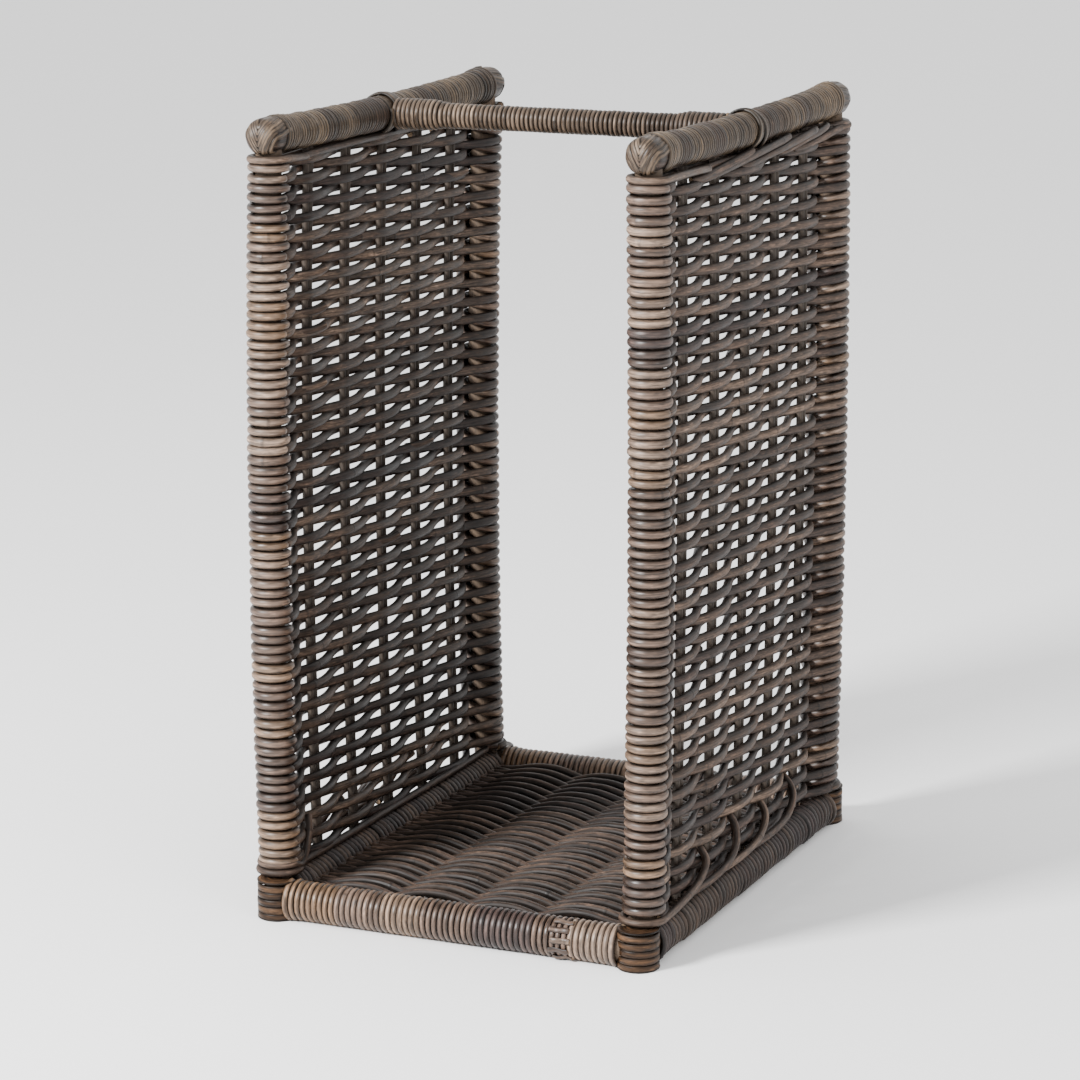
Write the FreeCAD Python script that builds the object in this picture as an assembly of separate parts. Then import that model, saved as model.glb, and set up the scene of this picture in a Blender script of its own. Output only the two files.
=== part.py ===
import FreeCAD, Part
import math
import os

# Open-fronted log basket of rattan: a pole frame with two woven side walls, a woven floor and a cross handle.
# Millimetres, +Z up, -Y the open front, origin under the middle of the basket on the floor.

V = FreeCAD.Vector
SIDES = {"left": -1, "right": 1}
ENDS = {"front": -1, "rear": 1}

# Frame: where the pole axes run
rail_rise = 720.0         # base rail axis up to the top rail axis, at the posts
base_span_x = 369.0       # between the side base rails
base_span_y = 491.0       # between the front and rear base rails
post_setback = 14.0       # each post stands this far in from the front or rear rail axis
foot_spread = 2.5         # left and right posts are this much further apart than the rails, at their feet
head_spread = 3.5         # and at their heads
foot_shift_x = -2.7       # the frame leans a little: its feet stand this far left of the base's middle
head_shift_x = 1.3        # and its heads this far right of it
wall_bow = {"left": 6.0, "right": 3.5}   # each wall bows outwards by this at half height
top_rail_dip = 4.0        # the top rails sag by this at mid depth
floor_rise = 4.0          # floor stake axes above the base rail axes

# Poles and rods
base_pole_r = 15.0
top_pole_r = 13.5
post_pole_r = 12.0
handle_pole_r = 9.0
base_pole_overhang = 10.0 # side base rail past the front and rear rail axes
top_pole_overhang = 13.0  # top rail past the post axis
stake_r = 3.25
stake_pair_gap = 8.0      # between the axes of the two rods of one stake
stake_count = 5
floor_stake_count = 4
stake_hole_depth = 9.0    # each rod is let into the rail this far

# Woven and wound layers
strand_d = 8.0            # round weaving strand
base_wrap_t = 4.0         # winding on the base rails
top_wrap_t = 3.5
handle_wrap_t = 3.25
handle_collar_t = 5.5     # built-up winding at both handle ends
handle_collar_len = 45.0
cap_t = 5.5               # chevron winding over the top rail ends
cap_len = 36.0
cap_nose = 9.0            # cap past the end of the pole
cap_dome = 10.5           # the rounded end of the cap
corner_t = 1.0            # lashing round each base corner, outside and above the base winding
foot_ring_h = 11.0        # the lowest turn on each post is a thicker one
foot_ring_t = 2.0
border_h = 13.0
lash_w = 10.0
lash_t = 1.6
flat_depth = 0.5          # the winding is worn flat by this where the basket rests

# Nails
nail_r = 1.4
nail_len = 58.0
nail_head_r = 3.0
nail_head_h = 1.4

# Fits
cope_gap = 0.15           # at a fish-mouth joint between two poles
wind_gap = 0.1            # between a winding and its pole
piece_gap = 0.4           # between neighbouring woven pieces
rod_gap = 0.15            # round a rod in its drilled hole
weave_gap = 0.3           # round a rod in the weave

seam_turn = 37.0          # degrees; keeps a pole's seam line clear of its holes

# Worked out from the sizes above
post_span_y = base_span_y - 2 * post_setback
foot_span_x = base_span_x + foot_spread
head_span_x = base_span_x + head_spread
base_z = base_pole_r + base_wrap_t - flat_depth
top_z = base_z + rail_rise
base_wrap_r = base_pole_r + base_wrap_t
top_wrap_r = top_pole_r + top_wrap_t
corner_r = base_wrap_r + corner_t
cap_r = top_pole_r + cap_t
lash_r = top_wrap_r + piece_gap + lash_t
binding_r = post_pole_r + strand_d
weave_t = 2 * (stake_r + strand_d)
handle_z = top_z - top_rail_dip
border_low = base_z + base_wrap_r + piece_gap
border_high = top_z - top_rail_dip - top_wrap_r - piece_gap


def rail_x(side):
    return SIDES[side] * base_span_x / 2


def rail_y(end):
    return ENDS[end] * base_span_y / 2


def post_y(end):
    return ENDS[end] * post_span_y / 2


def foot_x(side):
    return foot_shift_x + SIDES[side] * foot_span_x / 2


def head_x(side):
    return head_shift_x + SIDES[side] * head_span_x / 2


def wall_x(side, z):
    """Middle of a side wall at height z: a shallow curve from the foot, bowed outwards, to the head."""
    share = (z - base_z) / rail_rise
    straight = foot_x(side) + (head_x(side) - foot_x(side)) * share
    return straight + SIDES[side] * wall_bow[side] * 4 * share * (1 - share)


def wall_arc(side, y, z_low, z_high, offset=0.0):
    """The wall's curve between two heights, as one arc."""
    heights = (z_low, (z_low + z_high) / 2, z_high)
    return Part.Arc(*[V(wall_x(side, z) + offset, y, z) for z in heights]).toShape()


def top_arc(side, y_low, y_high, x=None):
    """The sagging line of a top rail between two depths, as one arc."""
    half = post_span_y / 2
    points = []
    for y in (y_low, (y_low + y_high) / 2, y_high):
        dip = top_rail_dip * (1 - (y / half) ** 2)
        points.append(V(head_x(side) if x is None else x, y, top_z - dip))
    return Part.Arc(*points).toShape()


def pipe(edge, radius):
    """A round pole or layer along one arc, turned about the arc's own centre."""
    start = edge.valueAt(edge.FirstParameter)
    along = edge.tangentAt(edge.FirstParameter)
    section = Part.Face(Part.Wire([Part.Circle(start, along, radius).toShape()]))
    section.rotate(start, along, seam_turn)
    turn = math.degrees(edge.LastParameter - edge.FirstParameter)
    return section.revolve(edge.Curve.Center, edge.Curve.Axis, turn)


def bar(start, end, radius):
    """A straight round pole."""
    along = end - start
    return Part.makeCylinder(radius, along.Length, start, along)


def post_pole(side, end, radius, z_low, z_high):
    return pipe(wall_arc(side, post_y(end), z_low, z_high), radius)


def base_side_pole(side, radius, half_length):
    x = rail_x(side)
    return bar(V(x, -half_length, base_z), V(x, half_length, base_z), radius)


def base_cross_pole(end, radius, low_x, high_x):
    y = rail_y(end)
    return bar(V(low_x, y, base_z), V(high_x, y, base_z), radius)


def top_pole(side, radius, half_length):
    return pipe(top_arc(side, -half_length, half_length), radius)


def stake_ys():
    pitch = post_span_y / (stake_count + 1)
    return [-post_span_y / 2 + pitch * (i + 1) for i in range(stake_count)]


def floor_stake_xs():
    pitch = base_span_x / (floor_stake_count + 1)
    return [-base_span_x / 2 + pitch * (i + 1) for i in range(floor_stake_count)]


def pair(middle):
    return (middle - stake_pair_gap / 2, middle + stake_pair_gap / 2)


def wall_rods(side, middle, extra):
    """Both rods of one wall stake, let into the base rail and the top rail; extra widens them into holes."""
    z_low = base_z + base_pole_r - stake_hole_depth
    rods = []
    for y in pair(middle):
        dip = top_rail_dip * (1 - (2 * y / post_span_y) ** 2)
        z_high = top_z - dip - top_pole_r + stake_hole_depth
        rods.append(pipe(wall_arc(side, y, z_low - extra, z_high + extra), stake_r + extra))
    return rods


def floor_rods(middle, extra):
    """Both rods of one floor stake, let into the front and rear base rails."""
    reach = base_span_y / 2 - base_pole_r + stake_hole_depth + extra
    z = base_z + floor_rise
    return [bar(V(x, -reach, z), V(x, reach, z), stake_r + extra) for x in pair(middle)]


def nail(head, direction, extra=0.0):
    """A flat-headed nail driven from head along direction; extra widens it into its hole."""
    shank = Part.makeCylinder(nail_r, nail_len, head, direction)
    disc = Part.makeCylinder(nail_head_r, nail_head_h, head, direction)
    return shank.fuse(disc).removeSplitter()


def nails():
    """Every nail of the frame: post feet, post heads, base corners and handle ends."""
    found = []
    for side, sign in SIDES.items():
        for end in ENDS:
            y = post_y(end)
            slope = math.sqrt(base_pole_r ** 2 - (foot_x(side) - rail_x(side)) ** 2)
            found.append(nail(V(foot_x(side), y, base_z - slope + nail_head_h), V(0, 0, 1)))
            found.append(nail(V(head_x(side), y, top_z + top_pole_r - nail_head_h), V(0, 0, -1)))
            side_of_rail = rail_x(side) + sign * (base_pole_r - nail_head_h)
            found.append(nail(V(side_of_rail, rail_y(end), base_z), V(-sign, 0, 0)))
        side_of_top = head_x(side) + sign * (top_pole_r - nail_head_h)
        found.append(nail(V(side_of_top, 0, handle_z), V(-sign, 0, 0)))
    return found


def handle_line(radius, inset):
    """A bar on the handle's axis between the two top rails, inset from each rail's axis."""
    return bar(V(head_x("left") + inset, 0, handle_z), V(head_x("right") - inset, 0, handle_z), radius)


def handle_winding_solid(extra=0.0):
    """The handle's winding from the outside: thin at mid span, built up at both ends."""
    solid = handle_line(handle_pole_r + handle_wrap_t + extra, 0)
    reach = top_wrap_r + handle_collar_len
    for side, sign in SIDES.items():
        x = head_x(side)
        collar_r = handle_pole_r + handle_collar_t + extra
        solid = solid.fuse(bar(V(x, 0, handle_z), V(x - sign * reach, 0, handle_z), collar_r))
    return solid.removeSplitter()


def cap_solid(side, end, extra=0.0):
    """The domed cap on one end of a top rail, from the outside."""
    sign = ENDS[end]
    x = head_x(side)
    pole_end = post_span_y / 2 + top_pole_overhang
    y_in = sign * (pole_end - cap_len - extra)
    y_out = sign * (pole_end + cap_nose - cap_dome)
    radius = cap_r + extra
    height = cap_dome + extra
    shoulder = V(x + radius * 0.8, y_out + sign * height * 0.6, top_z)
    nose = V(x, y_out + sign * height, top_z)
    start = V(x, y_in, top_z)
    rim = V(x + radius, y_in, top_z)
    edge = V(x + radius, y_out, top_z)
    outline = Part.Wire([Part.LineSegment(start, rim).toShape(), Part.LineSegment(rim, edge).toShape(),
                         Part.Arc(edge, shoulder, nose).toShape(), Part.LineSegment(nose, start).toShape()])
    return Part.Face(outline).revolve(start, V(0, 1, 0), 360)


def corner_solid(side, end, extra=0.0):
    height = base_z + base_wrap_r + corner_t
    return Part.makeCylinder(corner_r + extra, height + extra, V(rail_x(side), rail_y(end), 0))


def slab(side, thickness, z_low, z_high):
    """A piece of side wall as thick as the weave, bowed like the posts."""
    y = -post_span_y / 2
    outer = wall_arc(side, y, z_low, z_high, thickness / 2)
    inner = wall_arc(side, y, z_low, z_high, -thickness / 2)
    ends = [(edge.Vertexes[0].Point, edge.Vertexes[-1].Point) for edge in (outer, inner)]
    low = Part.LineSegment(ends[0][0], ends[1][0]).toShape()
    high = Part.LineSegment(ends[0][1], ends[1][1]).toShape()
    outline = Part.Wire(Part.sortEdges([outer, high, inner, low])[0])
    return Part.Face(outline).extrude(V(0, post_span_y, 0))


def cut_all(solid, tools):
    return solid.cut(Part.makeCompound(tools)) if tools else solid


shapes = {}


def build_frame():
    """Poles: rails let into each other with fish-mouth joints, drilled for the rods and nailed."""
    holes = nails()
    wall_holes = {}
    for side in SIDES:
        wall_holes[side] = [rod for y in stake_ys() for rod in wall_rods(side, y, rod_gap)]
    floor_holes = [rod for x in floor_stake_xs() for rod in floor_rods(x, rod_gap)]
    half = base_span_y / 2 + base_pole_overhang
    for side in SIDES:
        rail = base_side_pole(side, base_pole_r, half)
        shapes["base_rail_" + side] = cut_all(rail, wall_holes[side] + holes)
        top = top_pole(side, top_pole_r, post_span_y / 2 + top_pole_overhang)
        shapes["top_rail_" + side] = cut_all(top, wall_holes[side] + holes)
    side_rails = [base_side_pole(side, base_pole_r + cope_gap, half) for side in SIDES]
    cross_rails = [base_cross_pole(end, base_pole_r + cope_gap, rail_x("left"), rail_x("right"))
                   for end in ENDS]
    for end in ENDS:
        rail = base_cross_pole(end, base_pole_r, rail_x("left"), rail_x("right"))
        shapes["base_rail_" + end] = cut_all(rail, side_rails + floor_holes + holes)
    top_half = post_span_y / 2 + top_pole_overhang
    top_rails = [top_pole(side, top_pole_r + cope_gap, top_half) for side in SIDES]
    for side in SIDES:
        for end in ENDS:
            post = post_pole(side, end, post_pole_r, base_z, top_z)
            shapes["post_%s_%s" % (end, side)] = cut_all(post, side_rails + cross_rails + top_rails + holes)
    shapes["handle_bar"] = cut_all(cut_all(handle_line(handle_pole_r, 0), top_rails), holes)
    shapes["frame_nails"] = Part.makeCompound(holes)


def build_rods():
    """Stakes: five pairs of rods in each wall and four pairs in the floor."""
    for side in SIDES:
        for number, y in enumerate(stake_ys(), 1):
            shapes["stake_%s_%d" % (side, number)] = Part.makeCompound(wall_rods(side, y, 0))
    for number, x in enumerate(floor_stake_xs(), 1):
        shapes["floor_stake_%d" % number] = Part.makeCompound(floor_rods(x, 0))


def build_base_windings():
    """Windings and corner lashings on the four base rails, worn flat underneath."""
    wide, deep = 4 * base_span_x, 4 * base_span_y
    below = Part.makeBox(wide, deep, base_z, V(-wide / 2, -deep / 2, -base_z))
    corners = [corner_solid(side, end, piece_gap) for side in SIDES for end in ENDS]
    side_poles = [base_side_pole(side, base_pole_r + wind_gap, base_span_y) for side in SIDES]
    cross_poles = [base_cross_pole(end, base_pole_r + wind_gap, rail_x("left"), rail_x("right"))
                   for end in ENDS]
    posts = [post_pole(side, end, post_pole_r + wind_gap, base_z, base_z + 3 * base_wrap_r)
             for side in SIDES for end in ENDS]
    for side in SIDES:
        rods = [rod for y in stake_ys() for rod in wall_rods(side, y, weave_gap)]
        wrap = base_side_pole(side, base_wrap_r, base_span_y / 2)
        tools = corners + side_poles + cross_poles + posts + rods + [below]
        shapes["base_wrap_" + side] = cut_all(wrap, tools)
    floor = [rod for x in floor_stake_xs() for rod in floor_rods(x, weave_gap)]
    side_windings = [base_side_pole(side, base_wrap_r + piece_gap, base_span_y) for side in SIDES]
    for end in ENDS:
        wrap = base_cross_pole(end, base_wrap_r, rail_x("left"), rail_x("right"))
        tools = corners + cross_poles + side_windings + posts + floor + [below]
        shapes["base_wrap_" + end] = cut_all(wrap, tools)
    for side in SIDES:
        for end in ENDS:
            lashing = corner_solid(side, end)
            tools = side_poles + cross_poles + posts
            shapes["base_corner_lashing_%s_%s" % (end, side)] = cut_all(lashing, tools)


def build_top_windings():
    """Windings on the top rails and the handle, the end caps, and the bands that hold the handle."""
    half = post_span_y / 2 + top_pole_overhang
    bare = {side: top_pole(side, top_pole_r + wind_gap, half + wind_gap) for side in SIDES}
    posts = {side: [post_pole(side, end, post_pole_r + wind_gap, top_z - 3 * cap_r, top_z) for end in ENDS]
             for side in SIDES}
    handle = handle_winding_solid(piece_gap)
    for side in SIDES:
        rods = [rod for y in stake_ys() for rod in wall_rods(side, y, weave_gap)]
        caps = [cap_solid(side, end, piece_gap) for end in ENDS]
        winding = top_pole(side, top_wrap_r, half - cap_len / 2)
        bar_end = handle_line(handle_pole_r + wind_gap, 0)
        tools = [bare[side], bar_end] + posts[side] + rods + caps
        shapes["top_wrap_" + side] = cut_all(winding, tools)
        band = pipe(top_arc(side, -lash_w / 2, lash_w / 2), lash_r)
        inner = pipe(top_arc(side, -lash_w, lash_w), top_wrap_r + piece_gap)
        shapes["handle_lash_" + side] = cut_all(band, [inner, handle] + rods)
        for end in ENDS:
            cap = cap_solid(side, end)
            shapes["rail_end_cap_%s_%s" % (end, side)] = cut_all(cap, [bare[side]] + posts[side])
    windings = [top_pole(side, top_wrap_r + piece_gap, half) for side in SIDES]
    bare_handle = handle_line(handle_pole_r + wind_gap, 0)
    shapes["handle_wrap"] = cut_all(handle_winding_solid(), windings + [bare_handle])


def build_weave():
    """Woven side walls with their borders, the turns round the posts, and the woven floor."""
    wall_low = border_low + border_h + piece_gap
    wall_high = border_high - border_h - piece_gap
    feet_r = binding_r + foot_ring_t
    for side in SIDES:
        sleeves = [post_pole(side, end, binding_r + piece_gap, base_z, top_z) for end in ENDS]
        feet = [post_pole(side, end, feet_r + piece_gap, base_z, top_z) for end in ENDS]
        corners = [corner_solid(side, end, piece_gap) for end in ENDS]
        rods = [rod for y in stake_ys() for rod in wall_rods(side, y, weave_gap)]
        band = pipe(top_arc(side, -lash_w / 2 - piece_gap, lash_w / 2 + piece_gap), lash_r + piece_gap)
        wall = slab(side, weave_t, wall_low, wall_high)
        low_edge = slab(side, weave_t, border_low, border_low + border_h)
        high_edge = slab(side, weave_t, border_high - border_h, border_high)
        shapes["wall_weave_" + side] = cut_all(wall, sleeves + rods)
        shapes["bottom_border_" + side] = cut_all(low_edge, feet + corners + rods)
        shapes["top_border_" + side] = cut_all(high_edge, sleeves + rods + [band])
        for end in ENDS:
            foot = base_z + base_wrap_r + corner_t + 2 * piece_gap
            sleeve = post_pole(side, end, binding_r, foot, top_z)
            ring = post_pole(side, end, feet_r, foot, foot + foot_ring_h)
            pole = post_pole(side, end, post_pole_r + wind_gap, base_z, top_z)
            winding = top_pole(side, top_wrap_r + piece_gap, post_span_y)
            tools = [pole, cap_solid(side, end, piece_gap), winding]
            shapes["post_binding_%s_%s" % (end, side)] = cut_all(sleeve.fuse(ring).removeSplitter(), tools)
    build_floor_weave()


def build_floor_weave():
    """Woven floor between the windings of the base rails."""
    half_x = base_span_x / 2 - base_wrap_r - piece_gap
    half_y = base_span_y / 2 - base_wrap_r - piece_gap
    low = base_z + floor_rise - weave_t / 2
    mat = Part.makeBox(2 * half_x, 2 * half_y, weave_t, V(-half_x, -half_y, low))
    rods = [rod for x in floor_stake_xs() for rod in floor_rods(x, weave_gap)]
    corners = [corner_solid(side, end, piece_gap) for side in SIDES for end in ENDS]
    posts = [post_pole(side, end, binding_r + foot_ring_t + piece_gap, base_z, top_z)
             for side in SIDES for end in ENDS]
    shapes["floor_weave"] = cut_all(mat, rods + corners + posts)


def export_all():
    """Centre the finished basket over its origin and write one file for each piece."""
    whole = Part.makeCompound(list(shapes.values())).optimalBoundingBox(False, False)
    centre = V(-(whole.XMin + whole.XMax) / 2, -(whole.YMin + whole.YMax) / 2, 0)
    os.makedirs("parts", exist_ok=True)
    for node, shape in shapes.items():
        placed = shape.translated(centre)
        solids = placed.Solids
        result = solids[0] if len(solids) == 1 else Part.makeCompound(solids)
        result.exportStep("parts/%s.step" % node)
        print(node, len(solids), "solids", round(result.Volume), "mm3", result.isValid())
    print(len(shapes), "nodes, moved by", round(centre.x, 3), round(centre.y, 3))
    print("box", [round(value, 2) for value in (whole.XLength, whole.YLength, whole.ZMin, whole.ZMax)])


build_frame()
build_rods()
build_base_windings()
build_top_windings()
build_weave()
export_all()
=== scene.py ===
import bpy
import math
import random
import numpy as np
from mathutils import Matrix, Vector


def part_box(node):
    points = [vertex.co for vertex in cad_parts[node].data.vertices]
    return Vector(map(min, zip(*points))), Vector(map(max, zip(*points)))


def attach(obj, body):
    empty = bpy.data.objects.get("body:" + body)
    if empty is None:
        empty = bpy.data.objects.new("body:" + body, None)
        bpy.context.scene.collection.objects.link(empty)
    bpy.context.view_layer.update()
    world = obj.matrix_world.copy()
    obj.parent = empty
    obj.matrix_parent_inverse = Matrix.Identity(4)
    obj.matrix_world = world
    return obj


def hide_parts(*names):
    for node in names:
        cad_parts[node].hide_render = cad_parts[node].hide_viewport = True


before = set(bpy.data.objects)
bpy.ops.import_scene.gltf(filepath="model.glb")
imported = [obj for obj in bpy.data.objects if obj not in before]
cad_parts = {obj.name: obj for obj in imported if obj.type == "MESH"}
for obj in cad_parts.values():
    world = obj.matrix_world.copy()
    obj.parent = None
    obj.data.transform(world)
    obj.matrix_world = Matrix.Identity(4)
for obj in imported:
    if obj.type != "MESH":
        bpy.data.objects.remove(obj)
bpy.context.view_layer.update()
bpy.ops.object.select_all(action="DESELECT")

# ---- Floor, light and camera ----
# The basket stands on a wide pale floor in a pale room. A soft light stands at the front left, well above it,
# and a weak one at the right. A long lens looks from the front right, a little down.
floor_size = 40.0
floor_middle = (0.0, 1.2, 0.0)
bpy.ops.mesh.primitive_plane_add(size=floor_size, location=floor_middle)
studio_floor = bpy.context.active_object
studio_floor.name = "studio_floor"
paper = bpy.data.materials.new("pale_paper")
paper.use_nodes = True
paper.node_tree.nodes["Principled BSDF"].inputs["Base Color"].default_value = (0.93, 0.93, 0.93, 1.0)
paper.node_tree.nodes["Principled BSDF"].inputs["Roughness"].default_value = 0.9
studio_floor.data.materials.append(paper)

room = bpy.data.worlds.new("pale_room")
room.use_nodes = True
room.node_tree.nodes["Background"].inputs["Color"].default_value = (1.0, 1.0, 1.0, 1.0)
room.node_tree.nodes["Background"].inputs["Strength"].default_value = 1.5
bpy.context.scene.world = room


def softbox(name, place, aim, size, watts):
    lamp = bpy.data.lights.new(name, "AREA")
    lamp.shape = "RECTANGLE"
    lamp.size = size[0]
    lamp.size_y = size[1]
    lamp.energy = watts
    holder = bpy.data.objects.new(name, lamp)
    bpy.context.collection.objects.link(holder)
    holder.location = place
    holder.rotation_euler = (Vector(aim) - Vector(place)).to_track_quat("-Z", "Y").to_euler()


softbox("key_light", (-1.5, -2.7, 2.3), (0.0, 0.0, 0.4), (0.8, 0.6), 330.0)
softbox("side_light", (2.6, -1.4, 1.9), (0.1, 0.0, 0.4), (0.8, 1.2), 16.0)

view_turn = math.radians(24.13)
view_rise = math.radians(12.99)
view_roll = math.radians(-0.28)
rail_rise = 0.72
basket_middle = Vector((0.0042, 0.0, 0.0185 + rail_rise / 2))
look_from_mid = 5.099 * rail_rise
eye_side = -0.030 * rail_rise
eye_up = -0.066 * rail_rise
back = Vector((math.sin(view_turn) * math.cos(view_rise), -math.cos(view_turn) * math.cos(view_rise),
               math.sin(view_rise)))
side_way = (-back).cross(Vector((0.0, 0.0, 1.0))).normalized()
up_way = side_way.cross(-back)
tilted_side = math.cos(view_roll) * side_way + math.sin(view_roll) * up_way
tilted_up = -math.sin(view_roll) * side_way + math.cos(view_roll) * up_way
eye = basket_middle + back * look_from_mid + side_way * eye_side + up_way * eye_up
lens_data = bpy.data.cameras.new("long_lens")
lens_data.lens = 127.15
lens_data.sensor_width = 36.0
camera = bpy.data.objects.new("long_lens", lens_data)
bpy.context.collection.objects.link(camera)
facing_back = Matrix((tilted_side, tilted_up, back)).transposed().to_4x4()
camera.matrix_world = Matrix.Translation(eye) @ facing_back
bpy.context.scene.camera = camera

# ---- Bare poles and rods ----
# Peeled rattan poles make the frame, thinner rods stand in pairs in the walls and lie in pairs in the floor.
# They stay as built; only their wood grain is added, running along each pole.
pole_wood = (0.085, 0.053, 0.030)
rod_wood = (0.050, 0.034, 0.023)


def soft_noise(tree, way_in, scale, detail=3.0):
    """A noise pattern read from a vector, stretched by scale along its three directions."""
    stretch = tree.nodes.new("ShaderNodeMapping")
    stretch.inputs["Scale"].default_value = scale
    noise = tree.nodes.new("ShaderNodeTexNoise")
    noise.inputs["Scale"].default_value = 1.0
    noise.inputs["Detail"].default_value = detail
    tree.links.new(way_in, stretch.inputs["Vector"])
    tree.links.new(stretch.outputs["Vector"], noise.inputs["Vector"])
    return noise.outputs["Fac"]


def ramp_of(tree, factor, stops):
    """A colour ramp with the given (position, colour) stops."""
    ramp = tree.nodes.new("ShaderNodeValToRGB")
    while len(ramp.color_ramp.elements) < len(stops):
        ramp.color_ramp.elements.new(0.5)
    for element, (place, colour) in zip(ramp.color_ramp.elements, stops):
        element.position = place
        element.color = (*colour, 1.0)
    tree.links.new(factor, ramp.inputs["Fac"])
    return ramp.outputs["Color"]


def between(tree, colour, factor, source, target):
    """Colour times a grey that goes across target while factor goes across source."""
    span = tree.nodes.new("ShaderNodeMapRange")
    span.inputs["From Min"].default_value = source[0]
    span.inputs["From Max"].default_value = source[1]
    span.inputs["To Min"].default_value = target[0]
    span.inputs["To Max"].default_value = target[1]
    tree.links.new(factor, span.inputs["Value"])
    mix = tree.nodes.new("ShaderNodeVectorMath")
    mix.operation = "SCALE"
    tree.links.new(colour, mix.inputs[0])
    tree.links.new(span.outputs["Result"], mix.inputs["Scale"])
    return mix.outputs["Vector"]


def multiplied(tree, colour, noise, dark, light):
    """Colour times a noise that goes from dark to light."""
    return between(tree, colour, noise, (0.3, 0.7), (dark, light))


def plain_wood(name, colour, along):
    """Bare rattan whose fine grain runs along one axis of the basket."""
    wood = bpy.data.materials.new(name)
    wood.use_nodes = True
    tree = wood.node_tree
    shader = tree.nodes["Principled BSDF"]
    shader.inputs["Roughness"].default_value = 0.7
    place = tree.nodes.new("ShaderNodeTexCoord").outputs["Object"]
    fine = [700.0, 700.0, 700.0]
    fine[along] = 12.0
    grain = soft_noise(tree, place, fine)
    patch = soft_noise(tree, place, (20.0, 20.0, 20.0))
    dark = tuple(value * 0.6 for value in colour)
    base = ramp_of(tree, grain, [(0.3, dark), (0.7, colour)])
    tree.links.new(multiplied(tree, base, patch, 0.75, 1.15), shader.inputs["Base Color"])
    bump = tree.nodes.new("ShaderNodeBump")
    bump.inputs["Distance"].default_value = 0.0003
    tree.links.new(grain, bump.inputs["Height"])
    tree.links.new(bump.outputs["Normal"], shader.inputs["Normal"])
    return wood


def finish_nodes(nodes, material):
    for node in nodes:
        mesh = bpy.data.objects[node].data
        mesh.materials.clear()
        mesh.materials.append(material)


sides = {"left": -1, "right": 1}
ends = {"front": -1, "rear": 1}
corners_of_plan = [(end, side) for end in ends for side in sides]
finish_nodes(["post_%s_%s" % corner for corner in corners_of_plan], plain_wood("pole_upright", pole_wood, 2))
finish_nodes(["base_rail_left", "base_rail_right", "top_rail_left", "top_rail_right"],
             plain_wood("pole_front_to_back", pole_wood, 1))
finish_nodes(["base_rail_front", "base_rail_rear", "handle_bar"], plain_wood("pole_across", pole_wood, 0))
stake_count = 5
floor_stake_count = 4
finish_nodes(["stake_%s_%d" % (side, number + 1) for side in sides for number in range(stake_count)],
             plain_wood("rod_upright", rod_wood, 2))
finish_nodes(["floor_stake_%d" % (number + 1) for number in range(floor_stake_count)],
             plain_wood("rod_front_to_back", rod_wood, 1))

# ---- Nails ----
# Plain steel wire nails with flat heads, a little dull and grimy, hold the poles together at every joint.
# The windings cover them.
nail_steel = bpy.data.materials.new("nail_steel")
nail_steel.use_nodes = True
nail_tree = nail_steel.node_tree
nail_shader = nail_tree.nodes["Principled BSDF"]
nail_shader.inputs["Metallic"].default_value = 1.0
nail_shader.inputs["Roughness"].default_value = 0.45
nail_place = nail_tree.nodes.new("ShaderNodeTexCoord").outputs["Object"]
nail_grime = soft_noise(nail_tree, nail_place, (400.0, 400.0, 400.0))
nail_colour = ramp_of(nail_tree, nail_grime, [(0.3, (0.25, 0.22, 0.2)), (0.6, (0.5, 0.49, 0.48))])
nail_tree.links.new(nail_colour, nail_shader.inputs["Base Color"])
finish_nodes(["frame_nails"], nail_steel)

# ---- Base rail windings ----
# Half-round rattan is wound turn against turn on the four base rails, and worn flat where the basket stands.
# New lengths of a slightly different shade start every dozen turns or so.
mm = 0.001
round_section = [(math.cos(2 * math.pi * step / 10), math.sin(2 * math.pi * step / 10)) for step in range(10)]
half_round_section = [(-1.0, -0.55), (-0.6, -1.0), (0.6, -1.0), (1.0, -0.55), (0.94, 0.15), (0.68, 0.68),
                      (0.25, 0.95), (-0.25, 0.95), (-0.68, 0.68), (-0.94, 0.15)]
knot_spacing = 0.31


def smooth_path(points, count, rounds=2):
    """Evenly spaced points along a softened line through the given ones."""
    line = np.array(points, dtype=float)
    for _ in range(rounds):
        cut = np.empty((2 * len(line) - 2, 3))
        cut[0::2] = 0.75 * line[:-1] + 0.25 * line[1:]
        cut[1::2] = 0.25 * line[:-1] + 0.75 * line[1:]
        line = np.vstack([line[:1], cut, line[-1:]])
    reach = np.concatenate([[0.0], np.cumsum(np.linalg.norm(np.diff(line, axis=0), axis=1))])
    spots = np.linspace(0.0, reach[-1], count)
    return np.stack([np.interp(spots, reach, line[:, axis]) for axis in range(3)], axis=1)


def unit(ways):
    return ways / np.maximum(np.linalg.norm(ways, axis=1, keepdims=True), 1e-9)


def carried(along, first):
    """Ways out that start as the first one and are carried along a line without twisting."""
    ways = []
    for step in along:
        first = first - step * np.dot(first, step)
        first = first / np.linalg.norm(first)
        ways.append(first)
    return np.array(ways)


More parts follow.
